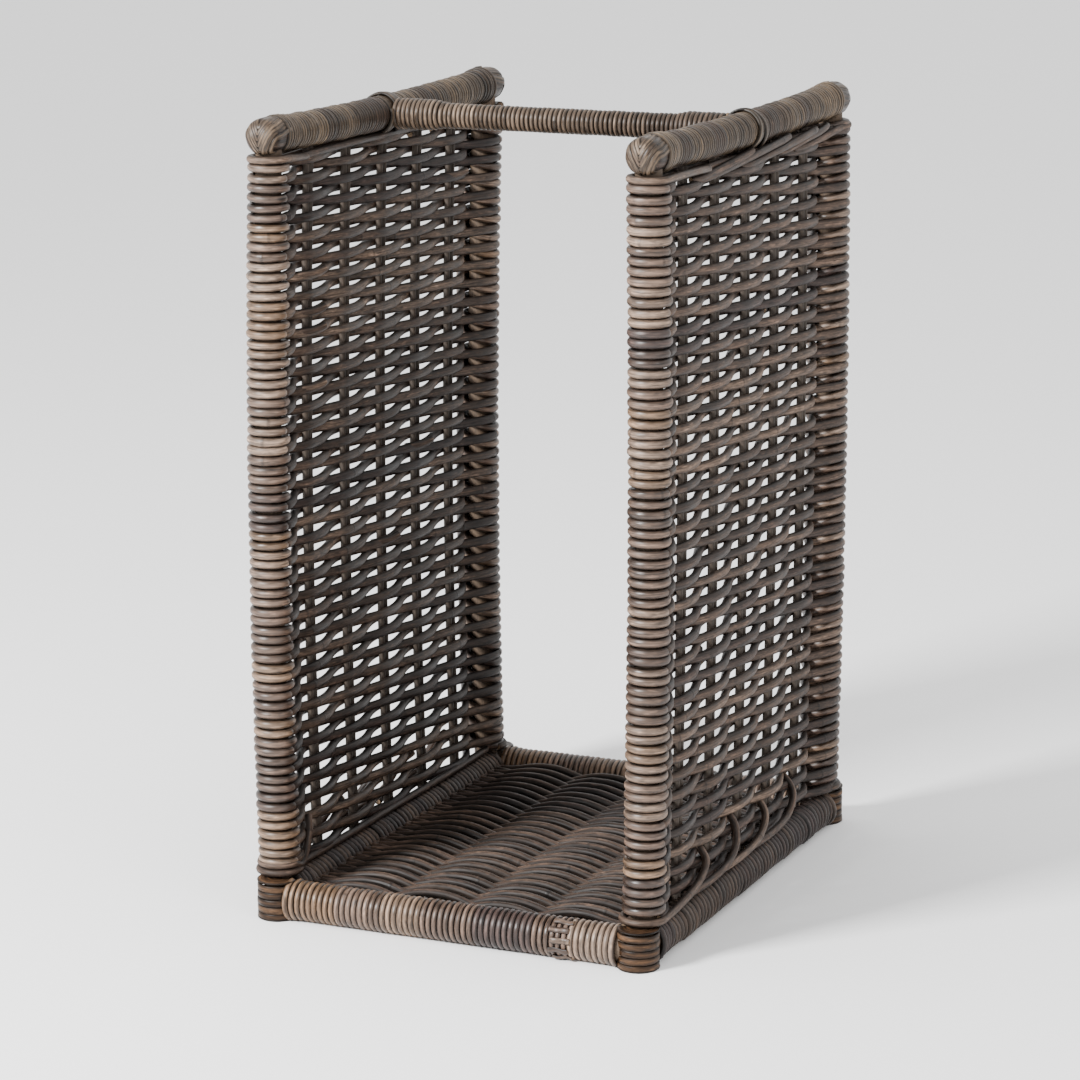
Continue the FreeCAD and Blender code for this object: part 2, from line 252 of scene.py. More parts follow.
def lay(name, strands, section, finish, covers, floor_cut=False):
    """Make one piece of many strands. A strand is (line, way out, half width, half thickness, tint, start).

    One that is painted darker along part of its length, as shade, also says how much at each point.
    """
    count = len(section)
    across_of, out_of = np.array(section).T
    turn = np.arctan2(out_of, across_of)
    points, faces, grain, tints, painted_shades = [], [], [], [], []
    first = 0
    for line, away, wide, thick, tint, start, *inner_shade in strands:
        line = np.asarray(line, dtype=float)
        along = unit(np.gradient(line, axis=0))
        away = np.asarray(away, dtype=float)
        if away.ndim == 1:
            away = carried(along, away)
        inner_shade = inner_shade[0] if inner_shade else np.zeros(len(line))
        inner_shade = np.concatenate([inner_shade[:1], inner_shade, inner_shade[-1:]])
        reach = start + np.concatenate([[0.0], np.cumsum(np.linalg.norm(np.diff(line, axis=0), axis=1))])
        knot = 1.0 + 0.09 * np.exp(-(((reach / knot_spacing) % 1.0 - 0.5) * knot_spacing / 0.004) ** 2)
        wide = np.broadcast_to(wide, len(line)) * knot
        thick = np.broadcast_to(thick, len(line)) * knot
        lead = 0.35 * min(wide[0], thick[0])
        line = np.vstack([line[:1] - along[:1] * lead, line, line[-1:] + along[-1:] * lead])
        along = np.vstack([along[:1], along, along[-1:]])
        reach = np.concatenate([reach[:1], reach, reach[-1:]])
        wide = np.concatenate([wide[:1] * 0.72, wide, wide[-1:] * 0.72])
        thick = np.concatenate([thick[:1] * 0.72, thick, thick[-1:] * 0.72])
        away = np.vstack([away[:1], away, away[-1:]])
        out = unit(away - along * np.sum(away * along, axis=1, keepdims=True))
        across = np.cross(along, out)
        rings = (line[:, None] + across[:, None] * (across_of[None, :, None] * wide[:, None, None])
                 + out[:, None] * (out_of[None, :, None] * thick[:, None, None]))
        if floor_cut:
            rings[:, :, 2] = np.maximum(rings[:, :, 2], 0.0)
        rows = len(line)
        points.append(rings.reshape(-1, 3))
        size = float(np.mean(wide))
        skin = np.empty((rows, count, 3))
        skin[:, :, 0] = reach[:, None]
        skin[:, :, 1] = np.cos(turn)[None] * size + start * 3.1
        skin[:, :, 2] = np.sin(turn)[None] * size
        grain.append(skin.reshape(-1, 3))
        tints.append(np.full(rows * count, tint))
        # Painted shade: each strand is darker towards its sides, where it meets its neighbours, and where a
        # wall row lies on the inner side of the wall; the material paints a highlight where this value is
        # low.
        painted_shades.append(np.maximum(np.abs(across_of)[None], inner_shade[:, None]).ravel())
        ring = np.arange(rows - 1)[:, None] * count + first
        near = np.arange(count)[None]
        far = (near + 1) % count
        around = [ring + near, ring + far, ring + count + far, ring + count + near]
        faces.append(np.stack(around, axis=2).reshape(-1, 4))
        first += rows * count
        for row, flip in ((0, True), (rows - 1, False)):
            points.append(np.vstack([rings[row], rings[row].mean(axis=0, keepdims=True)]))
            pith = np.zeros((count + 1, 3))
            pith[:, 0] = start
            pith[:count, 1:] = skin[row, :, 1:]
            grain.append(pith)
            tints.append(np.full(count + 1, 2.0))
            painted_shades.append(np.zeros(count + 1))
            fan = [[first + count, first + (step + 1) % count, first + step] if flip
                   else [first + count, first + step, first + (step + 1) % count] for step in range(count)]
            faces.append(np.array(fan))
            first += count + 1
    mesh = bpy.data.meshes.new(name)
    mesh.from_pydata(np.vstack(points).tolist(), [], [face for group in faces for face in group.tolist()])
    mesh.attributes.new("grain", "FLOAT_VECTOR", "POINT").data.foreach_set("vector", np.vstack(grain).ravel())
    mesh.attributes.new("tint", "FLOAT", "POINT").data.foreach_set("value", np.concatenate(tints))
    mesh.attributes.new("painted_shade", "FLOAT", "POINT").data.foreach_set("value", np.concatenate(painted_shades))
    mesh.polygons.foreach_set("use_smooth", [len(face.vertices) == 4 for face in mesh.polygons])
    mesh.materials.append(finish)
    piece = bpy.data.objects.new(name, mesh)
    bpy.context.collection.objects.link(piece)
    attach(piece, "root")
    if covers:
        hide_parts(*covers)
    return piece


def rattan(name, shades, streak=(0.45, 1.55), rough=0.5, knots=0.4, painted_edge_shade=0.2, gloss=0.25):
    """Rattan skin: a shade for each length, streaks along it, blotches, a thin dark ring at each knot, and
    painted shade and highlight.
    """
    skin = bpy.data.materials.new(name)
    skin.use_nodes = True
    tree = skin.node_tree
    shader = tree.nodes["Principled BSDF"]
    shader.inputs["Specular IOR Level"].default_value = gloss
    grain = tree.nodes.new("ShaderNodeAttribute")
    grain.attribute_name = "grain"
    tint = tree.nodes.new("ShaderNodeAttribute")
    tint.attribute_name = "tint"
    way = grain.outputs["Vector"]
    streaks = soft_noise(tree, way, (38.0, 850.0, 850.0), 4.0)
    blotch = soft_noise(tree, way, (24.0, 120.0, 120.0), 3.0)
    speck = soft_noise(tree, way, (170.0, 620.0, 620.0), 3.0)
    half = tree.nodes.new("ShaderNodeMath")
    half.operation = "MULTIPLY"
    half.inputs[1].default_value = 0.5
    tree.links.new(tint.outputs["Fac"], half.inputs[0])
    colour = ramp_of(tree, half.outputs["Value"], shades)
    colour = multiplied(tree, colour, streaks, *streak)
    colour = multiplied(tree, colour, blotch, 0.5, 1.55)
    colour = multiplied(tree, colour, speck, 0.68, 1.3)
    scuff = soft_noise(tree, way, (95.0, 330.0, 330.0), 4.0)
    colour = between(tree, colour, scuff, (0.56, 0.70), (1.0, 1.85))
    stain = soft_noise(tree, way, (75.0, 240.0, 240.0), 4.0)
    colour = between(tree, colour, stain, (0.30, 0.43), (0.42, 1.0))
    # Painted highlight and painted shade: the strand is made 1.28 times lighter on its faces and darker
    # towards its sides, where it meets its neighbours and where it lies on the inner side of a wall.
    painted_shade = tree.nodes.new("ShaderNodeAttribute")
    painted_shade.attribute_name = "painted_shade"
    colour = between(tree, colour, painted_shade.outputs["Fac"], (0.12, 0.97), (1.28, painted_edge_shade))
    parts = tree.nodes.new("ShaderNodeSeparateXYZ")
    tree.links.new(way, parts.inputs["Vector"])
    spot = parts.outputs["X"]
    for operation, value in (("DIVIDE", knot_spacing), ("FRACT", 0.0), ("SUBTRACT", 0.5), ("ABSOLUTE", 0.0)):
        step = tree.nodes.new("ShaderNodeMath")
        step.operation = operation
        step.inputs[1].default_value = value
        tree.links.new(spot, step.inputs[0])
        spot = step.outputs["Value"]
    ring = tree.nodes.new("ShaderNodeMapRange")
    ring.inputs["From Min"].default_value = 0.0022
    ring.inputs["From Max"].default_value = 0.0060
    ring.inputs["To Min"].default_value = 1.0 - knots
    ring.inputs["To Max"].default_value = 1.0
    tree.links.new(spot, ring.inputs["Value"])
    darker = tree.nodes.new("ShaderNodeVectorMath")
    darker.operation = "SCALE"
    tree.links.new(colour, darker.inputs[0])
    tree.links.new(ring.outputs["Result"], darker.inputs["Scale"])
    tree.links.new(darker.outputs["Vector"], shader.inputs["Base Color"])
    matt = tree.nodes.new("ShaderNodeMapRange")
    matt.inputs["From Min"].default_value = 0.3
    matt.inputs["From Max"].default_value = 0.7
    matt.inputs["To Min"].default_value = rough - 0.1
    matt.inputs["To Max"].default_value = rough + 0.15
    tree.links.new(blotch, matt.inputs["Value"])
    tree.links.new(matt.outputs["Result"], shader.inputs["Roughness"])
    height = tree.nodes.new("ShaderNodeMath")
    height.operation = "MULTIPLY_ADD"
    height.inputs[1].default_value = 0.8
    tree.links.new(streaks, height.inputs[0])
    tree.links.new(ring.outputs["Result"], height.inputs[2])
    bump = tree.nodes.new("ShaderNodeBump")
    bump.inputs["Strength"].default_value = 0.8
    bump.inputs["Distance"].default_value = 0.0005
    tree.links.new(height.outputs["Value"], bump.inputs["Height"])
    tree.links.new(bump.outputs["Normal"], shader.inputs["Normal"])
    return skin


pith_colour = (0.13, 0.085, 0.05)
# Lit and shaded copies of one rattan colour: painted light on the rings and end rails, painted shade on
# walls, borders, floor and, deeper, the side rails.
lit_shades = [(0.0, (0.037, 0.023, 0.020)), (0.14, (0.055, 0.034, 0.024)), (0.28, (0.092, 0.058, 0.041)),
              (0.42, (0.164, 0.112, 0.080)), (0.5, (0.111, 0.062, 0.031)), (0.9, pith_colour)]
half_lit_shades = [(0.0, (0.025, 0.016, 0.014)), (0.14, (0.038, 0.024, 0.017)), (0.28, (0.060, 0.038, 0.027)),
               (0.42, (0.102, 0.068, 0.048)), (0.5, (0.072, 0.039, 0.019)), (0.9, pith_colour)]
dim_shades = [(0.0, (0.020, 0.013, 0.012)), (0.14, (0.030, 0.019, 0.014)), (0.28, (0.046, 0.030, 0.021)),
              (0.42, (0.078, 0.052, 0.038)), (0.5, (0.055, 0.031, 0.016)), (0.9, pith_colour)]
base_skin = rattan("base_winding_rattan", lit_shades, rough=0.4, gloss=0.38)
side_base_skin = rattan("side_winding_rattan", dim_shades, rough=0.5)


def tint_lengths(rng, turns, shortest, longest, low=0.12, high=0.95):
    """A shade for each turn; the shade changes where a new length of rattan starts."""
    shades = []
    while len(shades) < turns:
        shades += [rng.uniform(low, high)] * rng.randint(shortest, longest)
    return shades[:turns]


def winding(rng, start, end, radius_at, pitch, wide, thick, steps=20, slant=0.0, shades=(5, 14), lift=None,
            tints=None, swell=0.0):
    """Strands wound round a pole from start to end, one strand for each shade."""
    start = np.array(start, dtype=float)
    end = np.array(end, dtype=float)
    axis = end - start
    length = np.linalg.norm(axis)
    axis = axis / length
    up = np.array((0.0, 0.0, 1.0))
    level = np.cross(axis, up)
    turns = int(round(length / pitch))
    tints = tints or tint_lengths(rng, turns, *shades)
    jitter = [rng.uniform(-1.0, 1.0) for _ in range(turns + 1)]
    strands = []
    stand_out = rng.uniform(0.0, swell)
    lean = slant
    begin = 0
    for number in range(1, turns + 1):
        if number < turns and tints[number % len(tints)] == tints[begin % len(tints)]:
            continue
        spots = np.linspace(begin, number, (number - begin) * steps + 1)
        wobble = np.interp(spots, range(turns + 1), jitter)
        angle = 2 * math.pi * spots
        radius = np.array([radius_at(spot / turns) for spot in spots]) + wobble * 0.22 * mm + stand_out
        away = np.cos(angle)[:, None] * up + np.sin(angle)[:, None] * level
        drift = lean * np.cos(angle) + wobble * 0.12 * mm
        line = start + axis * (spots / turns * length + drift)[:, None] + away * radius[:, None]
        if lift is not None:
            line[:, 2] += np.array([lift(spot / turns) for spot in spots])
        strands.append((line, away, wide * (1 + 0.05 * jitter[begin]), thick, tints[begin % len(tints)],
                        rng.uniform(0.0, 4.0)))
        begin = number
        if swell:
            stand_out = rng.uniform(0.0, swell)
            lean = slant * rng.uniform(-1.0, 1.0)
    return strands


def middle(node):
    low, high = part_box(node)
    return (np.array(low) + np.array(high)) / 2


base_pole_radius = 15.0 * mm
base_turn_pitch = 5.9 * mm
base_turn_thick = 2.05 * mm
base_turn_wide = 2.95 * mm
base_turn_radius = base_pole_radius + base_turn_thick
side_turn_pitch = 7.8 * mm
side_turn_wide = 4.2 * mm
corner_reach = 15.0 * mm
corner_flare = 1.9 * mm
flare_length = 13.0 * mm
wound_length = 330.0 * mm
base_level = middle("base_rail_left")[2]


def base_radius(share):
    """The last two turns at each end climb over the tails of the corner lashing."""
    from_end = min(share, 1.0 - share) * wound_length
    return base_turn_radius + corner_flare * max(0.0, 1.0 - from_end / flare_length)


patch_start = 107.0 * mm
patch_length = 19.0 * mm
patch_thick = 1.2 * mm
patch_strips = ((-52, 0.5), (-22, 0.25), (8, 0.7), (38, 0.35), (66, 0.55))
front_lengths = [(9, 0.97), (8, 0.6), (7, 0.9), (9, 0.42), (10, 0.04), (6, 0.5), (8, 0.82)]
front_tints = [shade for turns, shade in front_lengths for _ in range(turns)]
for end in ends:
    rng = random.Random(11 if end == "front" else 12)
    y = middle("base_rail_" + end)[1]
    x_left = middle("base_rail_left")[0] + corner_reach
    x_right = middle("base_rail_right")[0] - corner_reach
    strands = winding(rng, (x_left, y, base_level), (x_right, y, base_level), base_radius, base_turn_pitch,
                      base_turn_wide, base_turn_thick, slant=0.8 * mm, tints=front_tints)
    if end == "front":
        for number, (lean, shade) in enumerate(patch_strips):
            away = np.array((0.0, -math.cos(math.radians(lean)), math.sin(math.radians(lean))))
            across = patch_start + np.linspace(0.0, patch_length, 24) - (number % 2) * 2.2 * mm
            weave = np.sin((across - patch_start) / base_turn_pitch * math.pi / 1.5 + number * math.pi)
            reach = base_turn_radius + base_turn_thick + (0.2 + 0.9 * weave) * mm
            line = np.stack([across, np.full(24, y), np.full(24, base_level)], axis=1) + away * reach[:, None]
            strands.append((line, away, base_turn_wide, patch_thick, shade, number))
    lay("%s_rail_winding" % end, strands, half_round_section, base_skin, ["base_wrap_" + end],
        floor_cut=True)
for side in sides:
    rng = random.Random(13 if side == "left" else 14)
    x = middle("base_rail_" + side)[0]
    y_reach = middle("base_rail_rear")[1] - corner_reach
    strands = winding(rng, (x, -y_reach, base_level), (x, y_reach, base_level), base_radius, side_turn_pitch,
                      side_turn_wide, base_turn_thick, slant=3.5 * mm, shades=(2, 4, 0.0, 0.6),
                      swell=1.9 * mm)
    lay("%s_base_rail_winding" % side, strands, half_round_section, side_base_skin,
        ["base_wrap_" + side], floor_cut=True)

# ---- Walls and the turns round the posts ----
# Each wall is woven of one long round strand, spliced as it runs out. It passes in front of one stake and
# behind the next, takes a turn and a half round the corner post, and comes back one row higher. So the posts
# are bound from foot to head.
strand_radius = 4.15 * mm
row_pitch = 9.0 * mm
first_row = base_level + 25.0 * mm
row_count = 75
ring_radius = 16.0 * mm
weave_depth = 7.0 * mm
wall_skin = rattan("wall_strand_rattan", half_lit_shades, rough=0.5)
ring_skin = rattan("post_ring_rattan", lit_shades, rough=0.4, gloss=0.42)
post_y = middle("post_binding_rear_left")[1]
stake_spacing = 2 * post_y / (stake_count + 1)


def curve_of(node):
    """The bowed line of an upright pole, as x for any height, read from its mesh."""
    mesh = bpy.data.objects[node].data
    places = np.array([vertex.co[:] for vertex in mesh.vertices])
    return np.poly1d(np.polyfit(places[:, 2], places[:, 0], 2))


wall_line = {side: curve_of("stake_%s_3" % side) for side in sides}


def on_wall(side, y, offset, z):
    """Points of a wall: depth y, offset outwards from the wall's middle, and height z."""
    y, offset, z = np.broadcast_arrays(np.asarray(y, dtype=float), offset, z)
    return np.stack([wall_line[side](z) + sides[side] * offset, y, z], axis=1)


def eased(share):
    share = np.clip((share - 0.06) / 0.88, 0.0, 1.0)
    return share * share * (3.0 - 2.0 * share)


def row_line(side, row, height, rng):
    """One pass of the weaver from post to post, at one height."""
    sign = 1 if row % 2 == 0 else -1
    at_stakes = [sign * ring_radius]
    for stake in range(1, stake_count + 1):
        depth = weave_depth * rng.uniform(0.86, 1.12)
        at_stakes.append(depth if (stake + row) % 2 == 0 else -depth)
    at_stakes.append(sign * ring_radius)
    spots = np.linspace(0.0, stake_count + 1, 78)
    pushed = [rng.uniform(-0.07, 0.07) for _ in range(stake_count)]
    drift = np.interp(spots, range(stake_count + 2), [0.0] + pushed + [0.0])
    spots = spots + drift
    spots[[0, -1]] = 0.0, stake_count + 1
    cell = np.clip(spots.astype(int), 0, stake_count)
    at_stakes = np.array(at_stakes)
    offset = at_stakes[cell] + (at_stakes[cell + 1] - at_stakes[cell]) * eased(spots - cell)
    settle = np.minimum(1.0, 2.5 * np.minimum(spots, stake_count + 1 - spots))
    wave = rng.uniform(0.2, 0.8) * np.sin(spots * rng.uniform(0.7, 1.3) + rng.uniform(0, 6))
    wave += rng.uniform(0.15, 0.5) * np.sin(spots * rng.uniform(2.2, 3.4) + rng.uniform(0, 6))
    z = height + settle * wave * mm
    y = -post_y + spots * stake_spacing
    if sign < 0:
        y, offset, z = y[::-1], offset[::-1], z[::-1]
    return on_wall(side, y, offset, z)


def turn_line(side, end, low, high, rng, begin=0.0, finish=540.0):
    """The turn and a half round a post that joins one row to the next."""
    degrees = np.linspace(begin, finish, max(4, int((finish - begin) / 11.0)) + 1)
    angle = np.radians(degrees)
    settle = np.sin(np.pi * np.clip(degrees, 0.0, 540.0) / 540.0) ** 0.5
    rise = np.clip((degrees - 180.0) / 180.0, 0.0, 1.0)
    rise = rise * rise * (3.0 - 2.0 * rise)
    radius = ring_radius + settle * rng.uniform(-0.3, 0.5) * mm
    z = low + (high - low) * rise + settle * rng.uniform(-0.8, 0.8) * mm * np.sin(angle + rng.uniform(0, 6))
    outer_first = 1.0 if end == "rear" else -1.0
    y = ends[end] * (post_y + radius * np.sin(angle))
    offset = outer_first * radius * np.cos(angle)
    line = on_wall(side, y, offset, z)
    away = np.stack([sides[side] * outer_first * np.cos(angle), ends[end] * np.sin(angle),
                     np.zeros(len(angle))], axis=1)
    return line, away


row_jitter = [random.Random(29 + row).uniform(-0.55, 0.55) * mm for row in range(row_count + 1)]


def row_height(row):
    return first_row + row * row_pitch + row_jitter[row]


for side in sides:
    rng = random.Random(31 if side == "left" else 32)
    shade = tint_lengths(rng, row_count + 1, 1, 3, 0.05, 0.85)
    rows = []
    turns = {end: [] for end in ends}
    reach = 0.0
    outward = np.array((float(sides[side]), 0.0, 0.0))
    for row in range(row_count):
        size = strand_radius * rng.uniform(0.9, 1.04)
        line = row_line(side, row, row_height(row), rng)
        # Painted shade: a row is coloured darker where it passes to the inner side of the wall.
        inward = (wall_line[side](line[:, 2]) - line[:, 0]) * sides[side] / weave_depth
        inner_shade = 0.62 * np.clip(0.5 + 0.5 * inward, 0.0, 1.0)
        rows.append((line, outward, 1.18 * size, size, shade[row], reach, inner_shade))
        reach += 2 * post_y + rng.uniform(0.0, 0.02)
        end = "rear" if row % 2 == 0 else "front"
        above = row_height(row + 1) if row + 1 < row_count else row_height(row) + 0.6 * row_pitch
        line, away = turn_line(side, end, row_height(row), above, rng)
        turn_shade = min(0.95, shade[row] + rng.uniform(0.0, 0.3))
        turns[end].append((line, away, 1.04 * size, size, turn_shade, reach))
        reach += 0.151
    for _ in range(7):
        stake = rng.randint(1, stake_count)
        y = -post_y + stake * stake_spacing
        z = row_height(2 * rng.randint(2, 35) + (stake + 1) % 2) + 1.5 * mm
        cut_end = on_wall(side, [y - 24 * mm, y - 12 * mm, y, y + 7 * mm],
                          [-2 * mm, -8 * mm, -12.5 * mm, -15 * mm], [z, z, z + 1 * mm, z + 3 * mm])
        stub = smooth_path(cut_end, 12)
        rows.append((stub, outward, 0.9 * strand_radius, 0.9 * strand_radius, rng.uniform(0.2, 0.8), 0.0))
    lay("%s_wall_weave" % side, rows, round_section, wall_skin, ["wall_weave_" + side])
    for end in ends:
        lay("%s_%s_post_binding" % (end, side), turns[end], round_section, ring_skin,
            ["post_binding_%s_%s" % (end, side)])

# ---- Foot rings and borders ----
# At the bottom each wall's spare rods come out beside a stake, turn down and run forward along the base rail.
# The foremost goes on round the foot of the post. At the top, rods are laid rising one over the next.
border_skin = rattan("border_rod_rattan", half_lit_shades, rough=0.5)
border_radius = 3.7 * mm
foot_ring_reach = 18.4 * mm
foot_ring_level = base_level + 24.5 * mm
last_row = first_row + (row_count - 1) * row_pitch
stake_places = [-post_y + number * stake_spacing for number in range(1, stake_count + 1)]
top_rods = ((-128, -20, -3, 7, 12), (-116, 72, -5, 10, 13.5), (-8, 142, -5, 9, 14.5), (88, 178, -3, 8.5, 13),
            (132, 214, -5, 3, 13.5))


def round_post(side, end, radius, level, start, stop, rise=0.0, count=28):
    """An arc round a post, from angle start to stop, where 0 is the outer side and 90 the open end."""
    angle = np.radians(np.linspace(start, stop, count))
    return on_wall(side, ends[end] * (post_y + radius * np.sin(angle)), radius * np.cos(angle),
                   level + np.linspace(0.0, rise, count))


def wall_path(side, stops):
    """Points of a wall from (depth, offset, height) stops in millimetres, with heights from the first row."""
    depth, offset, height = (np.array(stops) * mm).T
    return on_wall(side, depth, offset, first_row + height)


for side in sides:
    rng = random.Random(51 if side == "left" else 52)
    outward = np.array((float(sides[side]), 0.0, 0.0))
    rods = []
    for number, place in enumerate(stake_places):
        y = place / mm - 28
        slip = rng.uniform(-4.0, 4.0)
        if number == 0:
            continue  # no rod comes out at the foremost stake
        if number == 1:
            stops = [(y + 4, -1, 32), (y, 9, 23), (y - 4, 12.5, 17), (y - 18, 14.5, 9),
                     (y - 45, 16.5, 3), (y - 90, 18, -0.5)]
            path = wall_path(side, stops)
            foot = round_post(side, "front", foot_ring_reach + 1 * mm, foot_ring_level, 5, 210)
            path = np.vstack([path, foot])
        else:
            stops = [(y + 5, -2, 38 + slip), (y + 1, 8.5, 29 + slip), (y - 4, 13, 20), (y - 12, 15, 12),
                     (y - 30, 16.5, 4), (y - 62, 17.5, 1), (y - 98 + slip, 16.5, 0),
                     (y - 126 + slip, 12, -1.5)]
            path = wall_path(side, stops)
        line = smooth_path(path, 76)
        rods.append((line, outward, border_radius, border_radius, rng.uniform(0.15, 0.75), rng.uniform(0, 4)))
    low = [(-214, -9, -1), (-150, -8.5, -2.5), (-77, -9.5, -2), (0, -8.5, -2.5), (77, -9.5, -2),
           (150, -9, -2.5), (214, -9, -1)]
    rods.append((smooth_path(wall_path(side, low), 60), outward, border_radius, border_radius, 0.3, 1.0))
    inside = [(-190, -10, 40), (-196, -14, 30), (-206, -16, 16), (-216, -17.5, 6), (-226, -19, 2)]
    path = wall_path(side, inside)
    if side == "left":
        foot = round_post(side, "front", foot_ring_reach - 0.4 * mm, foot_ring_level + 7 * mm, 170, -10)
        path = np.vstack([path, foot])
    rods.append((smooth_path(path, 44), outward, border_radius, border_radius, 0.55, 2.0))
    path = round_post(side, "rear", foot_ring_reach + 1 * mm, foot_ring_level, -35, 200)
    rods.append((path, outward, border_radius, border_radius, 0.35, 3.0))
    lay("%s_bottom_border" % side, rods, round_section, border_skin, ["bottom_border_" + side])

    top = (last_row - first_row) / mm
    rods = []
    for begin, finish, low, high, spare in top_rods:
        shift = rng.uniform(-6.0, 6.0) if side == "left" else 0.0
        mid = (begin + finish) / 2 + shift
        half_up = (low + high) / 2
        stops = [(begin + shift - 14, 4, low - 1), (begin + shift, 9, low), (mid - 20, spare, half_up - 1),
                 (mid + 25, spare + 2, half_up + 3), (finish + shift, spare + 1.5, high),
                 (finish + shift + 5, spare + 0.5, high + 0.8)]
        path = wall_path(side, [(y, offset, z + top) for y, offset, z in stops])
        if finish == 214:
            head = round_post(side, "rear", 17.5 * mm, last_row + 4 * mm, 5, 170, 4 * mm)
            path = np.vstack([path[:-1], head])
        line = smooth_path(path, 56)
        rods.append((line, outward, border_radius, border_radius, rng.uniform(0.3, 0.85), rng.uniform(0, 4)))
    start = wall_path(side, [(-118, 10.5, top + 4), (-150, 13, top + 6), (-195, 15, top + 7.5)])
    finish = wall_path(side, [(-200, -13, top + 6), (-176, -9, top + 4), (-160, -3, top + 3)])
    head = round_post(side, "front", 16.8 * mm, last_row + 8 * mm, 0, 180, 0.5 * mm)
    path = np.vstack([start, head, finish])
    rods.append((smooth_path(path, 80), outward, border_radius, border_radius, 0.72, 0.6))
    for offset, height in ((-7.5, 5.0), (6.0, 4.5)):
        level = [(depth, offset + rng.uniform(-1.5, 1.5),
                  top + height + rng.uniform(-1.2, 1.2) - (depth < 0) * 0.5)
                 for depth in (-212, -154, -116, -77, -38, 0, 38, 77, 116, 154, 212)]
        rods.append((smooth_path(wall_path(side, level), 90), outward, border_radius, border_radius,
                     rng.uniform(0.2, 0.5), rng.uniform(0, 4)))
    lay("%s_top_border" % side, rods, round_section, border_skin, ["top_border_" + side])

# ---- Corner lashings ----
# Five flat strips of rattan skin are bent round the outside of each bottom corner, one above the other, over
# the crossing of the rails. More strips close it above and below, and the rail windings hold their tails.
corner_skin = rattan("corner_peel_rattan", [(0.0, (0.024, 0.012, 0.006)), (0.5, (0.059, 0.031, 0.015)),
                                            (0.9, pith_colour)], rough=0.42, gloss=0.18)
flat_section = [(-1.0, -0.5), (-0.85, -1.0), (0.0, -1.0), (0.85, -1.0), (1.0, -0.5), (0.97, 0.4), (0.8, 0.85),
                (0.0, 1.0), (-0.8, 0.85), (-0.97, 0.4)]
strip_wide = 3.35 * mm
strip_thick = 1.1 * mm
strip_pitch = 6.9 * mm
strip_count = 5
strip_reach = 18.4 * mm
lowest_strip = 3.5 * mm
closing_wide = 2.9 * mm
closing_thick = 0.9 * mm
for end, side in corners_of_plan:
    rng = random.Random(60 + corners_of_plan.index((end, side)))
    heart = np.array((middle("base_rail_" + side)[0], middle("base_rail_" + end)[1], 0.0))
    facing = math.atan2(ends[end], sides[side])
    strips = []
    for number in range(strip_count):
        swing = np.linspace(-math.radians(104), math.radians(104), 44)
        reach = (strip_reach + rng.uniform(-0.3, 0.4) * mm) * np.minimum(1.0, 1.25 - 0.12 * np.abs(swing))
        away = np.stack([np.cos(facing + swing), np.sin(facing + swing), np.zeros(44)], axis=1)
        line = heart + away * reach[:, None]
        tilt = rng.uniform(-0.5, 0.5) * mm
        line[:, 2] = lowest_strip + number * strip_pitch + tilt * swing
        strips.append((line, away, strip_wide, strip_thick, rng.uniform(0.1, 0.9), rng.uniform(0.0, 4.0)))
    for level in (1.0 * mm, 2 * base_level + 0.2 * mm):
        swing = np.linspace(-math.radians(130), math.radians(130), 30)
        facing_out = np.array((0.0, 0.0, 1.0 if level > base_level else -1.0))
        for reach in (4.0 * mm, 9.0 * mm, 13.5 * mm, 16.8 * mm):
            ring = np.stack([np.cos(facing + swing), np.sin(facing + swing), np.zeros(30)], axis=1) * reach
            line = heart + ring + np.array((0.0, 0.0, level))
            strips.append((line, facing_out, closing_wide, closing_thick, rng.uniform(0.1, 0.6),
                           rng.uniform(0.0, 4.0)))
    lay("%s_%s_corner_lashing" % (end, side), strips, flat_section, corner_skin,
        ["base_corner_lashing_%s_%s" % (end, side)], floor_cut=True)

# ---- Floor ----
# The floor is one long round strand, woven over and under the paired floor rods from side rail to side rail.
# It turns back on itself at each rail, so that the rods hold it.
floor_skin = rattan("floor_strand_rattan", half_lit_shades, rough=0.55)
floor_level = middle("floor_stake_1")[2]
floor_radius = 3.9 * mm
floor_pitch = 9.0 * mm
floor_row_count = 49
rod_places = [middle("floor_stake_%d" % (number + 1))[0] for number in range(floor_stake_count)]
floor_inset = 21.5 * mm
floor_low = middle("base_rail_left")[0] + floor_inset
floor_high = middle("base_rail_right")[0] - floor_inset
floor_up = np.array((0.0, 0.0, 1.0))
rng = random.Random(71)
floor_rows = []
shade = tint_lengths(rng, floor_row_count, 1, 4, 0.05, 0.6)
for row in range(floor_row_count):
    y = (row - (floor_row_count - 1) / 2) * floor_pitch
    sign = 1 if row % 2 == 0 else -1
    at_rods = [sign * (-1) ** number * weave_depth for number in range(floor_stake_count)]
    heights = np.array([0.0] + at_rods + [0.0])
    stops = np.array([floor_low] + rod_places + [floor_high])
    spots = np.linspace(0.0, floor_stake_count + 1, 66)
    cell = np.minimum(spots.astype(int), floor_stake_count)
    lift = heights[cell] + (heights[cell + 1] - heights[cell]) * eased(spots - cell)
    sway = 0.4 * mm * np.sin(spots * 2.1 + row)
    line = np.stack([np.interp(spots, range(floor_stake_count + 2), stops), np.full(len(spots), y) + sway,
                     floor_level + lift], axis=1)
    if sign < 0:
        line = line[::-1]
    if row < floor_row_count - 1:
        swing = np.linspace(-math.pi / 2, math.pi / 2, 9)[1:-1]
        turn = np.stack([sign * floor_pitch / 2 * np.cos(swing), floor_pitch / 2 * (1 + np.sin(swing)),
                         np.zeros(len(swing))], axis=1)
        line = np.vstack([line, line[-1] + turn])
    floor_rows.append((line, floor_up, floor_radius, floor_radius, shade[row], row * 0.35))
lay("floor_weave_strands", floor_rows, round_section, floor_skin, ["floor_weave"])

